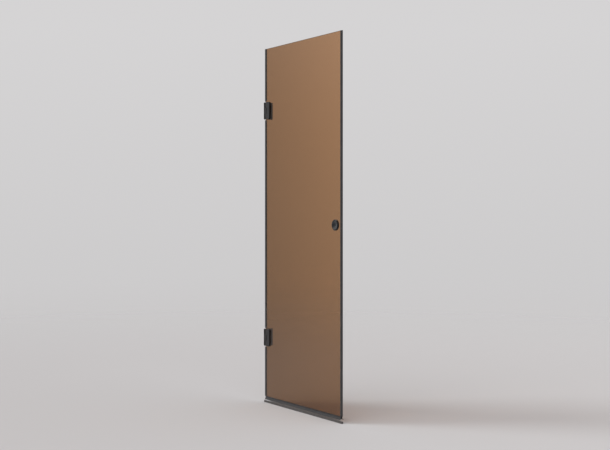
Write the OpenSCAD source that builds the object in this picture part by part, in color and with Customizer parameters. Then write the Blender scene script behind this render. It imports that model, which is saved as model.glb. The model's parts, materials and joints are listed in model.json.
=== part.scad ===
// Frameless shower door: one leaf of tinted toughened glass on two plate
// hinges, with edge seals, a round finger pull and a low sill.
// X runs along the door from its hinge side, Y runs inwards, Z is up. The origin
// is on the mounting plane of the hinge flanges, at the middle of the lower hinge.

/* [Opening] */
// Width of the opening that the door closes
opening_w = 800; // [600:10:1000]
// Height from the underside of the sill to the top of the glass
door_h = 2000; // [1800:10:2200]
// Free gap between the sill and the seal that hangs over it
sill_gap = 5; // [5:1:8]

/* [Glass] */
// Thickness of the glass
glass_t = 8; // [6:1:10]
// Gap between the mounting plane and the edge of the glass
hinge_gap = 11; // [11:0.5:14]
// Gap between the strike end of the opening and the edge of the glass
strike_gap = 13; // [11:0.5:16]
// Height of the lower edge of the glass above the lip of its seal
glass_lift = 5; // [4:0.5:8]
// Bevel of the ground edges of the glass
glass_bevel = 0.8; // [0.3:0.1:1.5]

/* [Hinges] */
// Height of the middle of the lower hinge above the underside of the sill
hinge_low_z = 367; // [200:1:500]
// Drop of the middle of the upper hinge below the top of the glass
hinge_top_drop = 350; // [200:1:500]
// Height of the clamping plates
hinge_h = 96; // [86:1:110]
// Reach of the outer plate from the mounting plane
hinge_reach = 60; // [58:1:75]
// Reach of the inner plate from the mounting plane
inner_reach = 52; // [50:1:58]
// Thickness of one clamping plate
plate_t = 5; // [5:0.5:10]
// Thickness of one clamping gasket
gasket_t = 1; // [0.5:0.5:1.5]
// Corner radius of the plates
plate_r = 7; // [4:1:12]
// Bevel round the face of the plates
plate_bevel = 1.4; // [0.6:0.2:2]
// Thickness of the mounting flange
flange_t = 5; // [4:0.5:8]
// Reach of the mounting flange inwards, from the middle of the glass
flange_reach = 50; // [44:1:60]
// Free gap between the turning barrel and the mounting flange
barrel_gap = 5; // [5:0.5:8]
// Height of the fixed knuckle
knuckle_h = 34; // [24:1:40]
// Radius of the fixed knuckle
knuckle_r = 9; // [8:0.5:9.5]
// Free gap between the fixed knuckle and the notch in the plates
notch_gap = 5; // [5:0.5:6]
// Radius of the hinge pin
pin_r = 4; // [3:0.5:5]
// Radius of the holes for the mounting screws
wall_hole_r = 3.25; // [2.5:0.25:4.5]
// Distance between the two mounting screws of a hinge
wall_hole_pitch = 60; // [50:1:66]

/* [Seals] */
// Thickness of the lips and legs of the seals
seal_t = 1; // [0.8:0.1:1.6]
// Length of the legs on the hinge side
hinge_seal_leg = 7; // [6:0.5:14]
// Length of the legs on the strike side
strike_seal_leg = 5; // [4:0.5:14]
// Length of the legs under the glass
bottom_seal_leg = 13; // [10:0.5:16]
// How far the outer skirt of the bottom seal flares out
skirt_flare = 3.5; // [2:0.5:5]
// How far the inner lip of the bottom seal reaches inwards
deflector_reach = 9; // [6:0.5:12]
// Free gap between the hinge side bulb and the mounting plane
hinge_bulb_gap = 0.5; // [0.5:0.25:2]
// Free gap between the strike side bulb and the end of the opening
strike_bulb_gap = 4.4; // [1:0.2:5]

/* [Sill] */
// Height of the sill
sill_h = 12; // [8:1:20]
// Depth of the sill
sill_d = 10; // [9:1:40]
// How far the sill stands out past the outer face of the seals
sill_nose = 3; // [1:0.5:5]

/* [Finger pull] */
// Outer radius of the pull
pull_r = 28.5; // [26:0.5:32]
// Distance from the edge of the glass to the middle of the pull
pull_inset = 54; // [45:1:90]
// Height of the middle of the pull above the underside of the sill
pull_height = 1009; // [900:1:1150]
// How far the rim stands out from its gasket
pull_rim = 3.2; // [3:0.2:8]
// Width of the rim, from its outer edge to the dish
pull_rim_w = 6; // [5:0.5:8]
// Radius of the rounded outer edge of the rim
pull_round_r = 2.2; // [1:0.2:2.6]
// Height of the dish's lowest point above the middle of the glass
pull_floor = 2.6; // [2:0.1:3]
// Radius of the hole in the glass
pull_hole_r = 21; // [18:0.5:21]
// Thickness of the gaskets of the pull
pull_gasket_t = 0.5; // [0.4:0.1:1.2]

/* [Hidden] */
$fn = 72;

// Fits and free gaps
run_clear = 0.05;
seat_clear = 0.1;
washer_gap = 1;
seal_end_gap = 5;
core_gap = 2;
corner_r = 4;
core_r = 3;
gasket_inset = 1;
cut = 1;
eps = 0.01;

// Glass and seals, in heights above the underside of the sill
lip_z = sill_h + sill_gap;
glass_z0 = lip_z + glass_lift;
glass_x0 = hinge_gap;
glass_x1 = opening_w - strike_gap;
face_y = glass_t / 2;
seal_half = face_y + seal_t;
seal_z0 = glass_z0 + bottom_seal_leg + seat_clear;

// Hinge, in distances from the mounting plane and from its own middle
clamp_half = face_y + gasket_t + plate_t;
pivot_x = flange_t + barrel_gap + clamp_half;
core_half = face_y + gasket_t - seat_clear;
notch_x = pivot_x + knuckle_r + notch_gap;
notch_z = knuckle_h / 2 + washer_gap;
grip_w = 12;
lug_drop = 6;
lug_top = hinge_h / 2 - lug_drop;
cutout_z = lug_top + core_gap;
cutout_x = inner_reach - grip_w;
core_x = cutout_x - core_gap;
seal_cut = hinge_h / 2 + seal_end_gap;
hinge_high_z = door_h - hinge_top_drop;

// Screws that draw the plates together
screw_r = 2.5;
screw_head_r = 5;
screw_head_h = 2.6;
screw_socket_r = 1.7;
screw_socket_h = 1.6;
screw_skin = 1.2;
screw_x = core_x - screw_r - core_gap;
screw_z = (notch_z + lug_top) / 2;

// Finger pull
pull_neck_r = pull_hole_r - 0.5;
pull_x = glass_x1 - pull_inset;
pull_split = 0.9;
pull_screw_in = 1.3;

// Colours
black_metal = [0.17, 0.17, 0.18];
black_rubber = [0.12, 0.12, 0.13];
dark_alu = [0.3, 0.29, 0.29];
steel = [0.45, 0.45, 0.46];
bronze_glass = [0.56, 0.42, 0.31, 0.7];

// Moves a piece from heights above the sill's underside to the origin at the lower hinge
module placed() {
  translate([0, 0, -hinge_low_z]) children();
}

// Puts a piece that is drawn around the middle of a hinge at that hinge
module at_hinge(z) {
  placed() translate([0, 0, z]) children();
}

// A rectangle from corner a to corner b with round corners
module round_rect(a, b, r) {
  translate([a[0] + r, a[1]]) square([b[0] - a[0] - 2 * r, b[1] - a[1]]);
  translate([a[0], a[1] + r]) square([b[0] - a[0], b[1] - a[1] - 2 * r]);
  for (x = [a[0] + r, b[0] - r], y = [a[1] + r, b[1] - r])
    translate([x, y]) circle(r);
}

// Extrudes a drawing of the front view from y0 to y1
module front_extrude(y0, y1) {
  translate([0, y1, 0]) rotate([90, 0, 0]) linear_extrude(y1 - y0) children();
}

// An oblong in the plane of two directions, with its four corners cut by the bevel
module bevelled_2d(a, b, bevel) {
  polygon([
    [a[0] + bevel, a[1]], [b[0] - bevel, a[1]], [b[0], a[1] + bevel], [b[0], b[1] - bevel],
    [b[0] - bevel, b[1]], [a[0] + bevel, b[1]], [a[0], b[1] - bevel], [a[0], a[1] + bevel]
  ]);
}

// The sheet of glass with all its outer edges bevelled
module glass_sheet() {
  intersection() {
    linear_extrude(door_h)
      bevelled_2d([glass_x0, -face_y], [glass_x1, face_y], glass_bevel);
    rotate([90, 0, 90])
      linear_extrude(opening_w)
        bevelled_2d([-face_y, glass_z0], [face_y, door_h], glass_bevel);
  }
}

// Glass, with a cut-out for each hinge and the hole for the pull
module glass_pane() {
  color(bronze_glass)
    placed()
      difference() {
        glass_sheet();
        for (z = [hinge_low_z, hinge_high_z])
          translate([0, 0, z])
            front_extrude(-face_y - cut, face_y + cut)
              round_rect([-pivot_x, -cutout_z], [cutout_x, cutout_z], corner_r);
        translate([pull_x, 0, pull_height])
          rotate([90, 0, 0])
            cylinder(h = glass_t + 2 * cut, r = pull_hole_r, center = true);
      }
}

// The notch in the plates that clears the fixed knuckle and its arm
module notch() {
  translate([0, -clamp_half - cut, -notch_z])
    cube([notch_x, 2 * clamp_half + 2 * cut, 2 * notch_z]);
}

// Outline of a plate, drawn in by inset on all sides but the barrel's
module plate_2d(reach, inset) {
  r = plate_r - inset;
  for (x = [pivot_x - clamp_half + r, reach - inset - r],
       z = [inset + r - hinge_h / 2, hinge_h / 2 - inset - r])
    translate([x, z]) circle(r, $fn = 32);
}

// A plate on the inner side of the glass, with a bevel round its face
module plate(reach) {
  inner_y = clamp_half - plate_t;
  hull() {
    front_extrude(inner_y, clamp_half - plate_bevel) plate_2d(reach, 0);
    front_extrude(inner_y, clamp_half) plate_2d(reach, plate_bevel);
  }
}

// Trims the mounting side of a clamping plate to the round barrel
module barrel_trim() {
  intersection() {
    union() children();
    translate([0, 0, -hinge_h / 2])
      linear_extrude(hinge_h) {
        translate([pivot_x, 0]) circle(clamp_half);
        translate([pivot_x, -clamp_half]) square([hinge_reach, 2 * clamp_half]);
      }
  }
}

module screw_places() {
  for (z = [-screw_z, screw_z])
    translate([screw_x, 0, z]) rotate([90, 0, 0]) children();
}

// The outer plate, a plain cover that the screws draw tight from the inside
module hinge_front_plate() {
  color(black_metal)
    difference() {
      barrel_trim() mirror([0, 1, 0]) plate(hinge_reach);
      notch();
      screw_places()
        translate([0, 0, clamp_half - plate_t - eps])
          cylinder(h = plate_t - screw_skin, r = screw_r + run_clear);
    }
}

// The inner plate, with the barrel lugs and the core that fills the cut-out
module hinge_back_plate() {
  inner_y = clamp_half - plate_t;
  color(black_metal)
    difference() {
      barrel_trim() {
        plate(inner_reach);
        front_extrude(-core_half, inner_y + cut)
          round_rect([pivot_x - clamp_half, -lug_top], [core_x, lug_top], core_r);
      }
      notch();
      translate([pivot_x, 0, 0])
        cylinder(h = 2 * lug_top + 2 * cut, r = pin_r + run_clear, center = true);
      screw_places()
        cylinder(h = 4 * clamp_half, r = screw_r + run_clear, center = true);
      screw_places()
        translate([0, 0, -clamp_half - eps])
          cylinder(h = screw_head_h + seat_clear, r1 = screw_head_r + seat_clear,
                   r2 = screw_r + run_clear);
    }
}

// A gasket between one plate and the glass
module hinge_gasket(side) {
  y0 = side > 0 ? face_y : -face_y - gasket_t;
  reach = side > 0 ? inner_reach : hinge_reach;
  color(black_rubber)
    front_extrude(y0, y0 + gasket_t)
      difference() {
        round_rect([pivot_x, gasket_inset - hinge_h / 2],
                   [reach - gasket_inset, hinge_h / 2 - gasket_inset],
                   plate_r - gasket_inset);
        square([2 * cutout_x, 2 * cutout_z], center = true);
      }
}

// The two countersunk screws that hold the clamped pair
module hinge_screws() {
  color(black_metal)
    screw_places() {
      translate([0, 0, screw_head_h - clamp_half])
        cylinder(h = 2 * clamp_half - screw_head_h - screw_skin - cut, r = screw_r);
      translate([0, 0, seat_clear - clamp_half])
        difference() {
          cylinder(h = screw_head_h, r1 = screw_head_r, r2 = screw_r);
          translate([0, 0, -eps]) cylinder(h = screw_socket_h, r = screw_socket_r, $fn = 6);
        }
    }
}

// The fixed bracket: flange, countersunk holes, arm and fixed knuckle
module hinge_bracket() {
  holes_y = (clamp_half + flange_reach) / 2;
  sink = 2.5;
  color(black_metal)
    difference() {
      union() {
        rotate([90, 0, 90])
          linear_extrude(flange_t)
            round_rect([-clamp_half, -hinge_h / 2], [flange_reach, hinge_h / 2], corner_r);
        translate([flange_t - eps, -knuckle_r, -knuckle_h / 2])
          cube([pivot_x - flange_t, 2 * knuckle_r, knuckle_h]);
        translate([pivot_x, 0, -knuckle_h / 2]) cylinder(h = knuckle_h, r = knuckle_r);
      }
      translate([pivot_x, 0, 0])
        cylinder(h = 2 * knuckle_h, r = pin_r + run_clear, center = true);
      for (z = [-wall_hole_pitch / 2, wall_hole_pitch / 2])
        translate([0, holes_y, z])
          rotate([0, 90, 0]) {
            translate([0, 0, -cut]) cylinder(h = flange_t + 2 * cut, r = wall_hole_r);
            translate([0, 0, flange_t - sink])
              cylinder(h = sink + eps, r1 = wall_hole_r, r2 = wall_hole_r + sink);
          }
    }
}

module hinge_pin() {
  color(steel)
    translate([pivot_x, 0, 0]) cylinder(h = 2 * lug_top - washer_gap, r = pin_r, center = true);
}

// Low-friction washers above and below the knuckle
module hinge_washers() {
  t = washer_gap - 2 * seat_clear;
  color(black_rubber)
    for (z = [knuckle_h / 2 + seat_clear, -knuckle_h / 2 - seat_clear - t])
      translate([pivot_x, 0, z])
        difference() {
          cylinder(h = t, r = knuckle_r - 1);
          translate([0, 0, -cut]) cylinder(h = t + 2 * cut, r = pin_r + run_clear);
        }
}

// A channel that grips the edge of the glass and carries a hollow bulb.
// The edge of the glass is at x = 0 and the bulb points along +X.
module bulb_seal_2d(leg, reach) {
  bulb_r = (reach - seal_t / 2) / 2;
  skin = seal_t * 0.8;
  difference() {
    translate([-leg, -seal_half]) square([leg + seal_t, 2 * seal_half]);
    translate([-leg - cut, -face_y]) square([leg + cut, glass_t]);
  }
  difference() {
    translate([reach - bulb_r, 0]) circle(bulb_r);
    translate([reach - bulb_r, 0]) circle(bulb_r - skin);
    translate([-leg, -seal_half]) square([leg, 2 * seal_half]);
  }
}

module hinge_seal(z0, z1) {
  color(black_rubber)
    placed()
      translate([glass_x0, 0, z0])
        linear_extrude(z1 - z0)
          mirror([1, 0]) bulb_seal_2d(hinge_seal_leg, hinge_gap - hinge_bulb_gap);
}

module strike_seal() {
  color(black_rubber)
    placed()
      translate([glass_x1, 0, seal_z0])
        linear_extrude(door_h - seal_z0)
          bulb_seal_2d(strike_seal_leg, strike_gap - strike_bulb_gap);
}

// The bottom seal: a channel under the glass, an outer skirt that flares out
// and an inner lip that throws the water back inwards
module bottom_seal_2d() {
  skirt_top = bottom_seal_leg * 0.45;
  skirt_y = -seal_half - skirt_flare;
  lip_y = seal_half + deflector_reach;
  polygon([
    [-face_y, 0], [-face_y, bottom_seal_leg], [-seal_half, bottom_seal_leg],
    [-seal_half, skirt_top], [skirt_y, -glass_lift], [skirt_y + seal_t, -glass_lift],
    [-seal_half, skirt_top - 3 * seal_t], [-seal_half, -seal_t],
    [face_y, -seal_t], [lip_y - seal_t, -glass_lift],
    [lip_y, -glass_lift], [lip_y, seal_t - glass_lift], [seal_half, seal_t / 2],
    [seal_half, bottom_seal_leg], [face_y, bottom_seal_leg], [face_y, 0]
  ]);
}

module bottom_seal() {
  color(black_rubber)
    placed()
      translate([glass_x0, 0, glass_z0])
        rotate([90, 0, 90]) linear_extrude(glass_x1 - glass_x0) bottom_seal_2d();
}

// The sill: a low bar across the opening that falls inwards
module sill_2d() {
  front = -seal_half - sill_nose;
  back = front + sill_d;
  bevel = 1.5;
  fall = 2;
  groove_in = 1.4;
  groove_w = 1.8;
  groove_h = 1;
  difference() {
    polygon([
      [front, 0], [front, sill_h - bevel], [front + bevel, sill_h],
      [front + sill_d * 0.4, sill_h], [back - bevel, sill_h - fall],
      [back, sill_h - fall - bevel], [back, 0]
    ]);
    for (y = [front + groove_in, back - groove_in - groove_w])
      translate([y, -groove_h]) square([groove_w, 2 * groove_h]);
  }
}

module sill() {
  color(dark_alu)
    placed()
      rotate([90, 0, 90]) linear_extrude(opening_w) sill_2d();
}

// Half section of a pull shell: radius along X, height above the glass's middle along Y
module pull_shell_2d(inner) {
  base = face_y + pull_gasket_t;
  top = base + pull_rim;
  translate([0, inner]) square([pull_neck_r, top - inner]);
  translate([0, base])
    intersection() {
      square([pull_r, pull_rim]);
      union() {
        square([pull_r, pull_rim - pull_round_r]);
        square([pull_r - pull_round_r, pull_rim]);
        translate([pull_r - pull_round_r, pull_rim - pull_round_r]) circle(pull_round_r);
      }
    }
}

// The hollow of the dish: part of a large sphere that cuts the face at the rim
module pull_dish() {
  top = face_y + pull_gasket_t + pull_rim;
  depth = top - pull_floor;
  half_w = pull_r - pull_rim_w;
  dish_r = (half_w * half_w + depth * depth) / (2 * depth);
  translate([0, 0, pull_floor + dish_r]) sphere(dish_r, $fn = 200);
}

// side is 1 for the inner shell and -1 for the outer one
module pull_shell(side) {
  inner = side > 0 ? pull_split + seat_clear : -pull_split;
  bore_h = side > 0 ? 2 * pull_floor : pull_split + pull_screw_in + seat_clear;
  color(black_metal)
    placed()
      translate([pull_x, 0, pull_height])
        rotate([side > 0 ? -90 : 90, 0, 0])
          difference() {
            rotate_extrude() pull_shell_2d(inner);
            pull_dish();
            translate([0, 0, inner - eps]) cylinder(h = bore_h, r = screw_r + run_clear);
          }
}

module pull_gasket(side) {
  color(black_rubber)
    placed()
      translate([pull_x, side > 0 ? face_y + pull_gasket_t : -face_y, pull_height])
        rotate([90, 0, 0])
          difference() {
            cylinder(h = pull_gasket_t, r = pull_r - gasket_inset);
            translate([0, 0, -cut]) cylinder(h = pull_gasket_t + 2 * cut, r = pull_neck_r + seat_clear);
          }
}

// The screw that joins the two shells through the glass
module pull_screw() {
  head_r = 4.4;
  head_h = 1.5;
  head_y = pull_floor + 2 * seat_clear;
  color(steel)
    placed()
      translate([pull_x, 0, pull_height])
        rotate([-90, 0, 0])
          difference() {
            union() {
              translate([0, 0, -pull_screw_in]) cylinder(h = pull_screw_in + head_y, r = screw_r);
              translate([0, 0, head_y]) cylinder(h = head_h, r1 = head_r, r2 = head_r - 0.6);
            }
            translate([0, 0, head_y + head_h / 3]) cylinder(h = head_h, r = 1.4, $fn = 6);
          }
}

glass_pane();
sill();
at_hinge(hinge_high_z) hinge_bracket();  // upper_hinge_bracket
at_hinge(hinge_high_z) hinge_pin();  // upper_hinge_pin
at_hinge(hinge_high_z) hinge_washers();  // upper_hinge_washers
at_hinge(hinge_high_z) hinge_front_plate();  // upper_hinge_front_plate
at_hinge(hinge_high_z) hinge_back_plate();  // upper_hinge_back_plate
at_hinge(hinge_high_z) hinge_gasket(-1);  // upper_hinge_front_gasket
at_hinge(hinge_high_z) hinge_gasket(1);  // upper_hinge_back_gasket
at_hinge(hinge_high_z) hinge_screws();  // upper_hinge_screws
at_hinge(hinge_low_z) hinge_bracket();  // lower_hinge_bracket
at_hinge(hinge_low_z) hinge_pin();  // lower_hinge_pin
at_hinge(hinge_low_z) hinge_washers();  // lower_hinge_washers
at_hinge(hinge_low_z) hinge_front_plate();  // lower_hinge_front_plate
at_hinge(hinge_low_z) hinge_back_plate();  // lower_hinge_back_plate
at_hinge(hinge_low_z) hinge_gasket(-1);  // lower_hinge_front_gasket
at_hinge(hinge_low_z) hinge_gasket(1);  // lower_hinge_back_gasket
at_hinge(hinge_low_z) hinge_screws();  // lower_hinge_screws
hinge_seal(hinge_high_z + seal_cut, door_h);  // hinge_seal_top
hinge_seal(hinge_low_z + seal_cut, hinge_high_z - seal_cut);  // hinge_seal_middle
hinge_seal(seal_z0, hinge_low_z - seal_cut);  // hinge_seal_bottom
strike_seal();
bottom_seal();
pull_shell(-1);  // pull_front_shell
pull_shell(1);  // pull_back_shell
pull_gasket(-1);  // pull_front_gasket
pull_gasket(1);  // pull_back_gasket
pull_screw();
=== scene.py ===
# %% [markdown]
# A bronze glass shower door.
# The door is one sheet of tinted glass, hung on its left side by two black hinges. It has dark
# seals on its edges, a round finger pull and a low sill under it. The rigid pieces come from a
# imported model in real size, so this lesson is about what is laid over them: finishes, small screws,
# a studio and a camera. Everything is in metres, +X along the door, -Y towards the outside, +Z up.

# %% Load the pieces
import bpy
import bmesh
import json
from math import cos, pi, radians, sin
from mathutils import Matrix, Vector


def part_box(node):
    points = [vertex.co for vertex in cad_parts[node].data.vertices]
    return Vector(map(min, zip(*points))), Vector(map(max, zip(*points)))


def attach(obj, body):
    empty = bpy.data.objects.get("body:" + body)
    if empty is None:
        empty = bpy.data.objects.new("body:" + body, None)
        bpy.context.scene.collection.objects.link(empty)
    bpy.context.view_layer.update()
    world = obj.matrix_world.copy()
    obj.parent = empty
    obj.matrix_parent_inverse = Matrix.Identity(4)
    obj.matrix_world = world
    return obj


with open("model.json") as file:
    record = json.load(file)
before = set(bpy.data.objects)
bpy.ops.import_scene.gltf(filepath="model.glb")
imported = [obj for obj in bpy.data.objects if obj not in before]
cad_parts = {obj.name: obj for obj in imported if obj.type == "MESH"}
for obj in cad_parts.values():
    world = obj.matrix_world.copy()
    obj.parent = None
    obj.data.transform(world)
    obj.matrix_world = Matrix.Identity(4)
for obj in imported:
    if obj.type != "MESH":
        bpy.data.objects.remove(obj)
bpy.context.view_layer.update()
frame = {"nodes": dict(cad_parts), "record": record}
pieces = frame["nodes"]
scene = bpy.context.scene

# %% [markdown]
# Where the floor is.
# The origin lies at the middle of the lower hinge, on the plane that its flange is screwed to. The
# sill stands on the floor, so its lowest point gives the floor's height. Asking the model is safer
# than writing the number again.

# %% Heights and edges taken from the model
FLOOR_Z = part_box("sill")[0].z
PANE_LOW, PANE_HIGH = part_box("glass_pane")
print("floor at", round(FLOOR_Z, 4), "glass from", PANE_LOW, "to", PANE_HIGH)

# %% [markdown]
# The camera.
# A picture of a door keeps upright edges upright: the camera stays level, and the lens is shifted
# to move the horizon. The horizon of the photograph lies a little above the middle of the picture,
# so the shift is small and negative. A long lens stands far away and looks almost along the door,
# which is why the leaf looks so narrow.

# %% Set up the camera
PICTURE_SIZE = (610, 450)
HORIZON_ROW = 213.95
FOCAL_PIXELS = 1141.4
SENSOR_WIDTH = 36.0
EYE_HEIGHT = 1.066
EYE = (5.6425, -3.1925, FLOOR_Z + EYE_HEIGHT)
EYE_AZIMUTH = radians(58.51)

camera_data = bpy.data.cameras.new("camera")
camera_data.sensor_width = SENSOR_WIDTH
camera_data.lens = SENSOR_WIDTH * FOCAL_PIXELS / PICTURE_SIZE[0]
camera_data.shift_y = (HORIZON_ROW - PICTURE_SIZE[1] / 2) / PICTURE_SIZE[0]
camera = bpy.data.objects.new("camera", camera_data)
camera.location = EYE
camera.rotation_euler = (pi / 2, 0, EYE_AZIMUTH)
scene.collection.objects.link(camera)
scene.camera = camera
print("lens", round(camera_data.lens, 1), "mm, shift", round(camera_data.shift_y, 4))

# %% [markdown]
# Helpers for node trees.
# Every finish below is a small tree of nodes. Writing each link by hand hides the idea, so one
# helper makes a node and fills its inputs: a number is set on the socket, and another node's
# output is linked to it. Five short helpers use it for what returns in every tree: a change from
# one range of numbers to another, a sum or product, how nearly two directions agree, and a mix of
# two numbers or of two colours.

# %% Helpers: add a node, start and end a finish
def add(tree, kind, settings=None, inputs=None):
    made = tree.nodes.new(kind)
    for name, value in (settings or {}).items():
        setattr(made, name, value)
    for name, value in (inputs or {}).items():
        if isinstance(value, bpy.types.NodeSocket):
            tree.links.new(value, made.inputs[name])
        else:
            made.inputs[name].default_value = value
    return made


def start_finish(name):
    material = bpy.data.materials.new(name)
    material.use_nodes = True
    material.node_tree.nodes.clear()
    return material, material.node_tree


def end_finish(tree, surface):
    add(tree, "ShaderNodeOutputMaterial", inputs={"Surface": surface})


print("node helpers ready")


# %% Helpers: change, calculate and mix
def ramp(tree, value, from_low, from_high, low, high, kind="LINEAR"):
    return add(tree, "ShaderNodeMapRange", {"interpolation_type": kind},
               {"Value": value, "From Min": from_low, "From Max": from_high,
                "To Min": low, "To Max": high}).outputs["Result"]


def maths(tree, operation, first, second):
    return add(tree, "ShaderNodeMath", {"operation": operation}, {0: first, 1: second}).outputs[0]


def dot(tree, first, second):
    return add(tree, "ShaderNodeVectorMath", {"operation": "DOT_PRODUCT"},
               {0: first, 1: second}).outputs["Value"]


def between(tree, share, first, second):
    """A number that is the first where the share is 0 and the second where it is 1."""
    return add(tree, "ShaderNodeMix", {"data_type": "FLOAT"},
               {0: share, 2: first, 3: second}).outputs[0]


def tones(tree, share, first, second):
    """The same for two colours of four numbers each."""
    return add(tree, "ShaderNodeMix", {"data_type": "RGBA"},
               {0: share, 6: first, 7: second}).outputs[2]


print("mixing helpers ready")

# %% [markdown]
# What the camera and the glass look out on.
# The object needs plain pale surroundings. A sky gives them without a backdrop that ends somewhere.
# It is a little brighter high up than low down. Clear glass shows what lies behind it, so an even
# sky would leave the pane as flat as painted board. For rays that have passed through glass the sky
# is therefore brighter high up and past the free side of the door, and darker low down and past the
# hinges. The light path of Cycles knows which rays those are.

# %% Sky as it is seen
PALE = (1.0, 0.985, 0.992)
LOW_SLOPE, HIGH_SLOPE = -0.17, 0.155
LOW_TONE, HIGH_TONE = 0.58, 0.665
FREE_SIDE = (0.5225, 0.8526, 0.0)
SIDE_FROM, SIDE_TO = -0.07, 0.08
THROUGH_DARK, THROUGH_BRIGHT = 0.78, 1.36
THROUGH_LOW, THROUGH_HIGH = 0.43, 0.755

world = bpy.data.worlds.new("studio")
world.use_nodes = True
scene.world = world
sky = world.node_tree
sky.nodes.clear()
direction = add(sky, "ShaderNodeTexCoord").outputs["Generated"]
height = add(sky, "ShaderNodeSeparateXYZ", inputs={0: direction}).outputs["Z"]
path = add(sky, "ShaderNodeLightPath").outputs
plain = ramp(sky, height, LOW_SLOPE, HIGH_SLOPE, LOW_TONE, HIGH_TONE)
past_free_side = ramp(sky, dot(sky, direction, FREE_SIDE), SIDE_FROM, SIDE_TO,
                      THROUGH_DARK, THROUGH_BRIGHT, "SMOOTHSTEP")
through = maths(sky, "MULTIPLY", past_free_side,
                ramp(sky, height, LOW_SLOPE, HIGH_SLOPE, THROUGH_LOW, THROUGH_HIGH))
looked_at = between(sky, path["Is Transmission Ray"], plain, through)
print("sky from", LOW_TONE, "low down to", HIGH_TONE, "high up")

# %% [markdown]
# What the gloss mirrors.
# A mirror image of an even sky says nothing about a surface. Gloss needs something dark and
# something bright, so mirrored rays see a dim sky with two soft round windows. The large one stands
# high outside: it brightens the top of the pane and the lower part of the dish in the pull. The
# small one stands low past the hinge side and draws the bright crescent in that dish. A ray that
# went through glass counts as glossy too in Cycles, so those rays are taken out first.

# %% Sky as it is mirrored
DIM_TONE = 0.28
# Direction, reach and brightness of each window
WINDOWS = [
    ((-0.612, -0.612, 0.5), radians(30), 0.7),
    ((-0.974, -0.207, 0.087), radians(15), 0.72),
]

in_gloss = DIM_TONE
for place, reach, brightness in WINDOWS:
    glow = ramp(sky, dot(sky, direction, place), cos(reach), 1.0, 0.0, brightness, "SMOOTHSTEP")
    in_gloss = maths(sky, "ADD", in_gloss, glow)
mirrored = add(sky, "ShaderNodeMath", {"operation": "SUBTRACT", "use_clamp": True},
               {0: path["Is Glossy Ray"], 1: path["Is Transmission Ray"]}).outputs[0]
seen_tone = between(sky, mirrored, looked_at, in_gloss)
seen = add(sky, "ShaderNodeBackground", inputs={"Color": (*PALE, 1), "Strength": seen_tone})
print("the gloss sees", len(WINDOWS), "windows")

# %% [markdown]
# The light of the sky.
# The light that falls on things may differ from what is seen. It is brighter on the hinge side and
# darker on the far side, so that the ends of the hinges stay dark. The light path tells the two
# apart: camera, gloss and glass look out, and all other rays gather light.

# %% Sky as a lamp
SKY_FROM = (-0.55, -0.62, 0.56)
FAR_SIDE, NEAR_SIDE = 0.35, 0.95
LAMP_TONE = (1.0, 0.985, 0.98)

falling = ramp(sky, dot(sky, direction, SKY_FROM), -1.0, 1.0, FAR_SIDE, NEAR_SIDE)
lighting = add(sky, "ShaderNodeBackground", inputs={"Color": (*LAMP_TONE, 1), "Strength": falling})
camera_or_gloss = maths(sky, "MAXIMUM", path["Is Camera Ray"], path["Is Glossy Ray"])
looks_out = maths(sky, "MAXIMUM", camera_or_gloss, path["Is Transmission Ray"])
both = add(sky, "ShaderNodeMixShader",
           inputs={0: looks_out, 1: lighting.outputs[0], 2: seen.outputs[0]})
add(sky, "ShaderNodeOutputWorld", inputs={"Surface": both.outputs[0]})
print("sky light from", SKY_FROM)

# %% [markdown]
# The floor.
# A plain painted floor catches the shadow and the bronze light. It is one square sheet, which isn't
# part of the door.

# %% Floor sheet
FLOOR_REACH = 15.0
CORNER_SIGNS = [(-1, -1), (1, -1), (1, 1), (-1, 1)]

floor_mesh = bpy.data.meshes.new("studio_floor")
corners = [(x * FLOOR_REACH, y * FLOOR_REACH, FLOOR_Z) for x, y in CORNER_SIGNS]
floor_mesh.from_pydata(corners, [], [(0, 1, 2, 3)])
floor = bpy.data.objects.new("studio_floor", floor_mesh)
scene.collection.objects.link(floor)
print("floor of", 2 * FLOOR_REACH, "by", 2 * FLOOR_REACH, "metres")

# %% [markdown]
# Painted shade on the floor.
# Behind a shower door there is less light than in front of it, and the floor paint stands in for that
# shade in two ways. A soft painted shadow lies along the inner side of the sill: it is the product of
# four soft edges, one for each side of a rectangle. And the floor is painted a shade darker where it is
# seen through the pane, most of all past the hinges.

# %% Floor paint with its painted shade
FLOOR_PAINT = (0.62, 0.608, 0.614)
FLOOR_ROUGH = 0.5
PAINTED_SILL_SHADE = 0.45
# Axis, where the edge starts and ends, and how much of the shade is there before and after it
SHADE_EDGES = [
    ("Y", -0.01, 0.005, 0.0, 1.0),
    ("Y", 0.03, 0.12, 1.0, 0.0),
    ("X", -0.04, 0.01, 0.0, 1.0),
    ("X", PANE_HIGH.x - 0.16, PANE_HIGH.x - 0.01, 1.0, 0.0),
]
# Painted shade where the floor is seen through the pane: two distances towards the free side, and the
# tone at each
THROUGH_FLOOR = (-0.1, 0.5, 0.57, 0.85)

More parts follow.
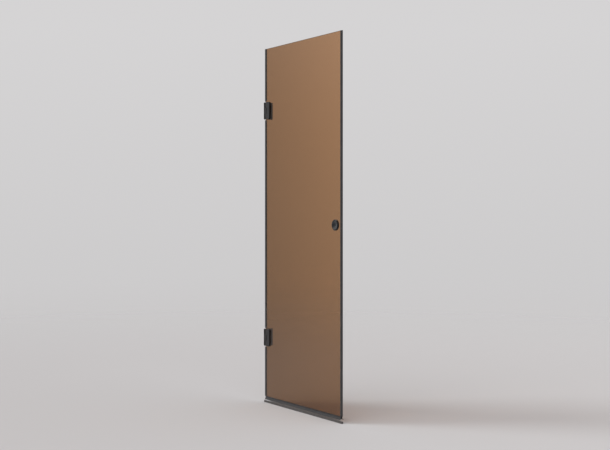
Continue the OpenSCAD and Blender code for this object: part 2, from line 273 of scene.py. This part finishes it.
paint, tree = start_finish("floor paint")
spot = add(tree, "ShaderNodeTexCoord").outputs["Object"]
along = add(tree, "ShaderNodeSeparateXYZ", inputs={0: spot}).outputs
beside_sill = 1.0
for axis, start, end, before, after in SHADE_EDGES:
    edge = ramp(tree, along[axis], start, end, before, after, "SMOOTHSTEP")
    beside_sill = maths(tree, "MULTIPLY", beside_sill, edge)
# Painted shadow along the inner side of the sill, darkest inside the four soft edges
painted_sill_shade = ramp(tree, beside_sill, 0.0, 1.0, 1.0, PAINTED_SILL_SHADE)
# Painted shade on the floor where it is seen through the pane
seen_through = add(tree, "ShaderNodeLightPath").outputs["Is Transmission Ray"]
through_tone = ramp(tree, dot(tree, spot, FREE_SIDE), *THROUGH_FLOOR)
painted_through_shade = between(tree, seen_through, 1.0, through_tone)
shade = maths(tree, "MULTIPLY", painted_sill_shade, painted_through_shade)
shaded = add(tree, "ShaderNodeVectorMath", {"operation": "SCALE"}, {0: FLOOR_PAINT, "Scale": shade})
matt = add(tree, "ShaderNodeBsdfDiffuse", inputs={"Color": shaded.outputs[0], "Roughness": FLOOR_ROUGH})
print("floor paint", FLOOR_PAINT, "with", len(SHADE_EDGES), "soft edges")

# %% [markdown]
# Where the floor ends.
# A floor that ends has a hard line at the horizon, so this one fades out with distance from the
# door, and the sky takes over softly. In a picture, floor far away is squeezed into few rows: a row
# goes with one over the distance, so the fade is spread over that and not over the distance itself.

# %% Fade of the floor
FADE_FROM, FADE_TO, EYE_DISTANCE = 1.5, 14.0, 6.0

distance = add(tree, "ShaderNodeVectorMath", {"operation": "LENGTH"}, {0: spot}).outputs["Value"]
row = maths(tree, "DIVIDE", 1.0, maths(tree, "ADD", distance, EYE_DISTANCE))
last_row = 1 / (FADE_TO + EYE_DISTANCE)
first_row = 1 / (FADE_FROM + EYE_DISTANCE)
fade = ramp(tree, row, last_row, first_row, 1.0, 0.0, "SMOOTHSTEP")
open_air = add(tree, "ShaderNodeBsdfTransparent")
fading = add(tree, "ShaderNodeMixShader",
             inputs={0: fade, 1: matt.outputs[0], 2: open_air.outputs[0]})
end_finish(tree, fading.outputs[0])
floor_mesh.materials.append(paint)
print("floor fades out between", FADE_FROM, "and", FADE_TO, "metres")

# %% [markdown]
# The key light.
# A sun lamp lights the floor evenly however far it reaches, so the floor stays one colour. A wide
# angle gives it the soft shadow of a large window. It stands on the hinge side, high and a little to
# the outside, so that it shines through the glass and lays a bronze patch behind it.

# %% Key light
KEY_POWER = 1.15
KEY_ANGLE = radians(24)
KEY_TONE = (1.0, 0.985, 0.97)
KEY_TURN = (radians(48), 0.0, radians(-38))

key_data = bpy.data.lights.new("window_light", "SUN")
key_data.energy = KEY_POWER
key_data.angle = KEY_ANGLE
key_data.color = KEY_TONE
key = bpy.data.objects.new("window_light", key_data)
key.rotation_euler = KEY_TURN
scene.collection.objects.link(key)
print("key light", KEY_POWER)

# %% [markdown]
# Grain, edges and bumps.
# Five small helpers carry all the finishes. Grain is noise in real metres, drawn out along one axis
# where a piece was extruded or brushed. Noise keeps to its middle values, so spread stretches those to
# a range of tone or roughness. The edge mask compares the true face direction with a rounded one: they
# differ only close to an edge, where coating thins and catches the light, and where the black coating
# paints a lighter tone that is partly wear and partly a painted highlight. The bump sits on the rounded
# direction, so sharp edges of the model get the small radius that real ones have.

# %% Helpers for surface detail
BEVEL_SAMPLES = 8
EDGE_START, EDGE_FULL = 0.97, 0.72
NOISE_LOW, NOISE_HIGH = 0.3, 0.7


def grain(tree, size, stretch=(1, 1, 1), detail=3.0):
    """Noise with spots of about the given size, in metres."""
    place = add(tree, "ShaderNodeTexCoord").outputs["Object"]
    drawn = add(tree, "ShaderNodeMapping", inputs={"Vector": place, "Scale": stretch})
    return add(tree, "ShaderNodeTexNoise",
               inputs={"Vector": drawn.outputs[0], "Scale": 1 / size, "Detail": detail}).outputs[0]


def spread(tree, noise, low, high):
    return ramp(tree, noise, NOISE_LOW, NOISE_HIGH, low, high)


def rounded(tree, radius):
    return add(tree, "ShaderNodeBevel", {"samples": BEVEL_SAMPLES}, {"Radius": radius}).outputs[0]


def edge_mask(tree, round_normal):
    true_normal = add(tree, "ShaderNodeNewGeometry").outputs["Normal"]
    return ramp(tree, dot(tree, round_normal, true_normal), EDGE_FULL, EDGE_START, 1.0, 0.0)


def bumped(tree, height, depth, strength, normal=None):
    inputs = {"Height": height, "Distance": depth, "Strength": strength}
    if normal is not None:
        inputs["Normal"] = normal
    return add(tree, "ShaderNodeBump", inputs=inputs).outputs[0]


print("detail helpers ready")

# %% [markdown]
# Bronze glass.
# Tinted glass is coloured all through. A glass shader that bends light gives the pane its true
# thickness at the edges and shows what stands behind it. Light from a lamp doesn't find its way
# through such a shader, so for shadow rays it becomes a clear filter of the same colour: that is
# what lays the bronze patch on the floor. Toughened glass has a faint wave from the rollers, and a
# shower door has faint wipe marks, so the surface is almost but not quite flat. The narrow edges are
# ground, which makes them a little rougher.

# %% Finish: bronze glass
GLASS_TINT = (0.393, 0.209, 0.099)
FILTER_TINT = (0.36, 0.25, 0.18)
GLASS_IOR = 1.5
GROUND_ROUGH, WIPE_ROUGH = 0.22, 0.02
GROUND_TURN, FLAT_TURN = 0.3, 0.9
WIPE_START, WIPE_FULL = 0.45, 0.7


def bronze_glass():
    material, tree = start_finish("bronze glass")
    wave = grain(tree, size=0.16, stretch=(1, 1, 0.35), detail=1.0)
    wipes = grain(tree, size=0.035, stretch=(1, 1, 0.25), detail=4.0)
    normal = add(tree, "ShaderNodeNewGeometry").outputs["Normal"]
    across = add(tree, "ShaderNodeSeparateXYZ", inputs={0: normal}).outputs["Y"]
    flat = add(tree, "ShaderNodeMath", {"operation": "ABSOLUTE"}, {0: across}).outputs[0]
    ground = ramp(tree, flat, GROUND_TURN, FLAT_TURN, GROUND_ROUGH, 0.0)
    haze = ramp(tree, wipes, WIPE_START, WIPE_FULL, 0.0, WIPE_ROUGH)
    glass = add(tree, "ShaderNodeBsdfPrincipled",
                inputs={"Base Color": (*GLASS_TINT, 1), "IOR": GLASS_IOR,
                        "Roughness": maths(tree, "MAXIMUM", ground, haze),
                        "Transmission Weight": 1.0,
                        "Normal": bumped(tree, wave, depth=0.0004, strength=0.12)})
    clear = add(tree, "ShaderNodeBsdfTransparent", inputs={"Color": (*FILTER_TINT, 1)})
    in_shadow = add(tree, "ShaderNodeLightPath").outputs["Is Shadow Ray"]
    both = add(tree, "ShaderNodeMixShader",
               inputs={0: in_shadow, 1: glass.outputs[0], 2: clear.outputs[0]})
    end_finish(tree, both.outputs[0])
    return material


print("bronze glass tint", GLASS_TINT)

# %% [markdown]
# Matt black coating.
# The hinges are powder coated: baked powder leaves a fine orange-peel skin, dull but not dead. Two
# near-black tones keep it from looking like a hole in the picture, and the edge mask makes the corners
# smoother and paints them a shade lighter, partly as wear from handling and partly as a painted
# highlight. The pull has a like coating, polished by fingers, so it is darker in itself and mirrors
# more.

# %% Finish: matt black and satin black
COATED_EDGE = 0.0007
EDGE_LIFT = 1.9
PEEL_SWING = 0.05
COATING_IOR = 1.5


def black_coating(name, dark, light, dull, shiny, gloss):
    material, tree = start_finish(name)
    peel = grain(tree, size=0.0006)
    clouds = grain(tree, size=0.012)
    round_normal = rounded(tree, COATED_EDGE)
    edges = edge_mask(tree, round_normal)
    skin = tones(tree, spread(tree, clouds, 0.0, 1.0), (*dark, 1), (*light, 1))
    # Lighter tone on the edges: partly wear, partly a painted highlight
    worn_and_highlit_edge = (*[EDGE_LIFT * tone for tone in light], 1)
    skin_rough = spread(tree, peel, dull - PEEL_SWING, dull + PEEL_SWING)
    skin_bump = bumped(tree, peel, depth=0.00006, strength=0.35, normal=round_normal)
    coat = add(tree, "ShaderNodeBsdfPrincipled",
               inputs={"Base Color": tones(tree, edges, skin, worn_and_highlit_edge),
                       "Roughness": between(tree, edges, skin_rough, shiny),
                       "IOR": COATING_IOR, "Specular IOR Level": gloss, "Normal": skin_bump})
    end_finish(tree, coat.outputs[0])
    return material


print("black coating ready")

# %% [markdown]
# Vinyl and rubber.
# The seals are soft vinyl, pushed through a die, so they carry fine lines along their length and
# a soft sheen. The strips on the upright edges have lines along Z, the seal under the glass along X,
# so one function makes both, and the noise is stretched along the axis that it is given. Gaskets
# are plain dull rubber.

# %% Finish: drawn vinyl and gasket rubber
ALONG_Z, ALONG_X, NO_STRETCH = (1, 1, 0.012), (0.012, 1, 1), (1, 1, 1)
VINYL_SWING = 0.07
VINYL_IOR = 1.5
VINYL_EDGE = 0.0003
RUBBER_DARK, RUBBER_LIGHT = (0.018, 0.018, 0.018), (0.03, 0.03, 0.031)
RUBBER_ROUGH = (0.72, 0.88)


def drawn_vinyl(name, dark, light, along, dull):
    material, tree = start_finish(name)
    lines = grain(tree, size=0.0009, stretch=along, detail=2.0)
    cloud = grain(tree, size=0.05, detail=2.0)
    colour = tones(tree, spread(tree, cloud, 0.0, 1.0), (*dark, 1), (*light, 1))
    round_normal = rounded(tree, VINYL_EDGE)
    drawn = bumped(tree, lines, depth=0.00005, strength=0.4, normal=round_normal)
    vinyl = add(tree, "ShaderNodeBsdfPrincipled",
                inputs={"Base Color": colour, "IOR": VINYL_IOR, "Normal": drawn,
                        "Roughness": spread(tree, lines, dull - VINYL_SWING, dull + VINYL_SWING)})
    end_finish(tree, vinyl.outputs[0])
    return material


def gasket_rubber():
    material, tree = start_finish("gasket rubber")
    dust = grain(tree, size=0.0012, detail=4.0)
    colour = tones(tree, spread(tree, dust, 0.0, 1.0), (*RUBBER_DARK, 1), (*RUBBER_LIGHT, 1))
    rubber = add(tree, "ShaderNodeBsdfPrincipled",
                 inputs={"Base Color": colour,
                         "Roughness": spread(tree, dust, *RUBBER_ROUGH),
                         "Normal": bumped(tree, dust, depth=0.00008, strength=0.3)})
    end_finish(tree, rubber.outputs[0])
    return material


print("vinyl and rubber ready")

# %% [markdown]
# Metal and nylon.
# The sill is brushed and stained dark, with hairlines along its length. The hinge pin is turned on
# a lathe, which leaves rings round it, so its noise is drawn out across the axis instead. The screws
# are blackened, and the washers between the turning parts are slippery nylon.

# %% Finish: sill, pin and screws
ROUND_Z = (0.1, 0.1, 1)
METAL_SWING = 0.08
METAL_EDGE = 0.0005
LINE_SHARE, CLOUD_SHARE = 0.6, 0.4


def worked_metal(name, dark, light, along, metallic, dull):
    material, tree = start_finish(name)
    lines = grain(tree, size=0.0007, stretch=along, detail=4.0)
    cloud = grain(tree, size=0.03)
    mottle = maths(tree, "ADD", spread(tree, lines, 0.0, LINE_SHARE),
                   spread(tree, cloud, 0.0, CLOUD_SHARE))
    round_normal = rounded(tree, METAL_EDGE)
    brushed = bumped(tree, lines, depth=0.00004, strength=0.35, normal=round_normal)
    metal = add(tree, "ShaderNodeBsdfPrincipled",
                inputs={"Base Color": tones(tree, mottle, (*dark, 1), (*light, 1)),
                        "Metallic": metallic, "Normal": brushed,
                        "Roughness": spread(tree, lines, dull - METAL_SWING, dull + METAL_SWING)})
    end_finish(tree, metal.outputs[0])
    return material


print("metals ready")

# %% [markdown]
# One finish for each material slot.
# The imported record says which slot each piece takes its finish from. Going through that list dresses
# all pieces with a few lines, and a new piece in the model gets its finish without any change here.

# %% Dress every piece
finishes = {
    "bronze_glass": bronze_glass(),
    "matt_black": black_coating(
        "matt black coating", (0.022, 0.022, 0.023), (0.032, 0.032, 0.033),
        dull=0.5, shiny=0.38, gloss=0.35),
    # The blue cast in the satin black tones is a painted reflection of a bluish sheen
    "pull_black": black_coating(
        "satin black coating", (0.005, 0.0065, 0.009), (0.009, 0.011, 0.014),
        dull=0.2, shiny=0.15, gloss=0.7),
    "edge_seal": drawn_vinyl(
        "edge vinyl", (0.040, 0.040, 0.043), (0.052, 0.052, 0.055), ALONG_Z, dull=0.42),
    "drip_seal": drawn_vinyl(
        "drip vinyl", (0.022, 0.022, 0.023), (0.032, 0.032, 0.033), ALONG_X, dull=0.4),
    "black_rubber": gasket_rubber(),
    "black_plastic": drawn_vinyl(
        "washer nylon", (0.03, 0.03, 0.03), (0.042, 0.042, 0.042), NO_STRETCH, dull=0.45),
    "sill_metal": worked_metal(
        "sill metal", (0.085, 0.080, 0.078), (0.125, 0.118, 0.114), ALONG_X,
        metallic=0.25, dull=0.42),
    "pin_steel": worked_metal(
        "turned steel", (0.42, 0.42, 0.42), (0.60, 0.60, 0.59), ROUND_Z,
        metallic=1.0, dull=0.3),
    "screw_steel": worked_metal(
        "blackened steel", (0.035, 0.035, 0.036), (0.06, 0.06, 0.062), NO_STRETCH,
        metallic=0.5, dull=0.4),
}
for part in frame["record"]["subparts"]:
    mesh = pieces[part["node"]].data
    mesh.materials.clear()
    mesh.materials.append(finishes[part["material_slot"]])

# %% [markdown]
# The shape of a screw.
# Each hinge flange has two countersunk holes. A screw is a turned shape, so it is made as a profile
# spun round its axis: a flat head, a cone and a shank. The socket in the head has six sides, so its
# rings have six corners, and the rings in between share the same number of points, a multiple of
# six.

# %% Helpers for the screws
SCREW_SIDES = 36
SOCKET_CORNERS = 6
HEAD_RADIUS, SHANK_RADIUS, SOCKET_RADIUS = 0.0055, 0.003, 0.0022
HEAD_DEPTH, SOCKET_DEPTH = 0.0026, 0.0016
HEAD_SINK = 0.0002
RIM_WIDTH, RIM_DROP = 0.0003, 0.0002


def ring(work, radius, depth, corners=0):
    """One ring of points. A ring with corners is flattened between them."""
    made = []
    for step in range(SCREW_SIDES):
        angle = 2 * pi * step / SCREW_SIDES
        reach = radius
        if corners:
            from_middle = (angle + pi / corners) % (2 * pi / corners) - pi / corners
            reach = radius * cos(pi / corners) / cos(pi / corners - abs(from_middle))
        made.append(work.verts.new((depth, reach * cos(angle), reach * sin(angle))))
    return made


def join_rings(work, first, second):
    for step in range(SCREW_SIDES):
        after = (step + 1) % SCREW_SIDES
        work.faces.new((first[step], first[after], second[after], second[step]))


def countersunk_screw(work, face_x, back_x, y, z):
    """A screw along X, from just under the face of the flange to its back."""
    head = face_x - HEAD_SINK
    outline = [
        ring(work, SOCKET_RADIUS, head - SOCKET_DEPTH, SOCKET_CORNERS),
        ring(work, SOCKET_RADIUS, head, SOCKET_CORNERS),
        ring(work, HEAD_RADIUS - RIM_WIDTH, head),
        ring(work, HEAD_RADIUS, head - RIM_DROP),
        ring(work, SHANK_RADIUS, head - HEAD_DEPTH),
        ring(work, SHANK_RADIUS, back_x),
    ]
    for first, second in zip(outline, outline[1:]):
        join_rings(work, first, second)
    work.faces.new(reversed(outline[0]))
    work.faces.new(outline[-1])
    for points in outline:
        bmesh.ops.translate(work, verts=points, vec=(0, y, z))


print("a screw has", SCREW_SIDES, "sides")

# %% [markdown]
# Screws in the flanges.
# The record of the model tells where the holes are: its bolt patterns give their middle and their
# pitch. The middle lies in the middle of the flange's thickness, so the face is twice as far from
# the origin. The screws stop at the back of the flange, so they add nothing to the size of the door.

# %% Make the screws of each hinge
MM_PER_METRE = 1000

for mount in frame["record"]["mounts"]:
    if mount["kind"] != "bolt_pattern":
        continue
    level = mount["name"].split("_")[0]
    back_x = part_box(level + "_hinge_bracket")[0].x
    middle_x, middle_y, middle_z = mount["pos_m"]
    half_pitch = mount["dims"]["spacing_y_mm"] / MM_PER_METRE / 2
    work = bmesh.new()
    for side in (-1, 1):
        countersunk_screw(work, 2 * middle_x, back_x, middle_y, middle_z + side * half_pitch)
    bmesh.ops.recalc_face_normals(work, faces=work.faces)
    mesh = bpy.data.meshes.new(level + "_wall_screws")
    work.to_mesh(mesh)
    work.free()
    mesh.materials.append(finishes["screw_steel"])
    screws = bpy.data.objects.new(level + "_wall_screws", mesh)
    scene.collection.objects.link(screws)
    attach(screws, "wall_side")
    print("made", screws.name, "with", len(mesh.polygons), "faces")

# %% [markdown]
# Colour management.
# The standard view shows a colour about as it is written, which makes it easy to compare the render
# with a colour read from a photograph.

scene.view_settings.view_transform = "Standard"
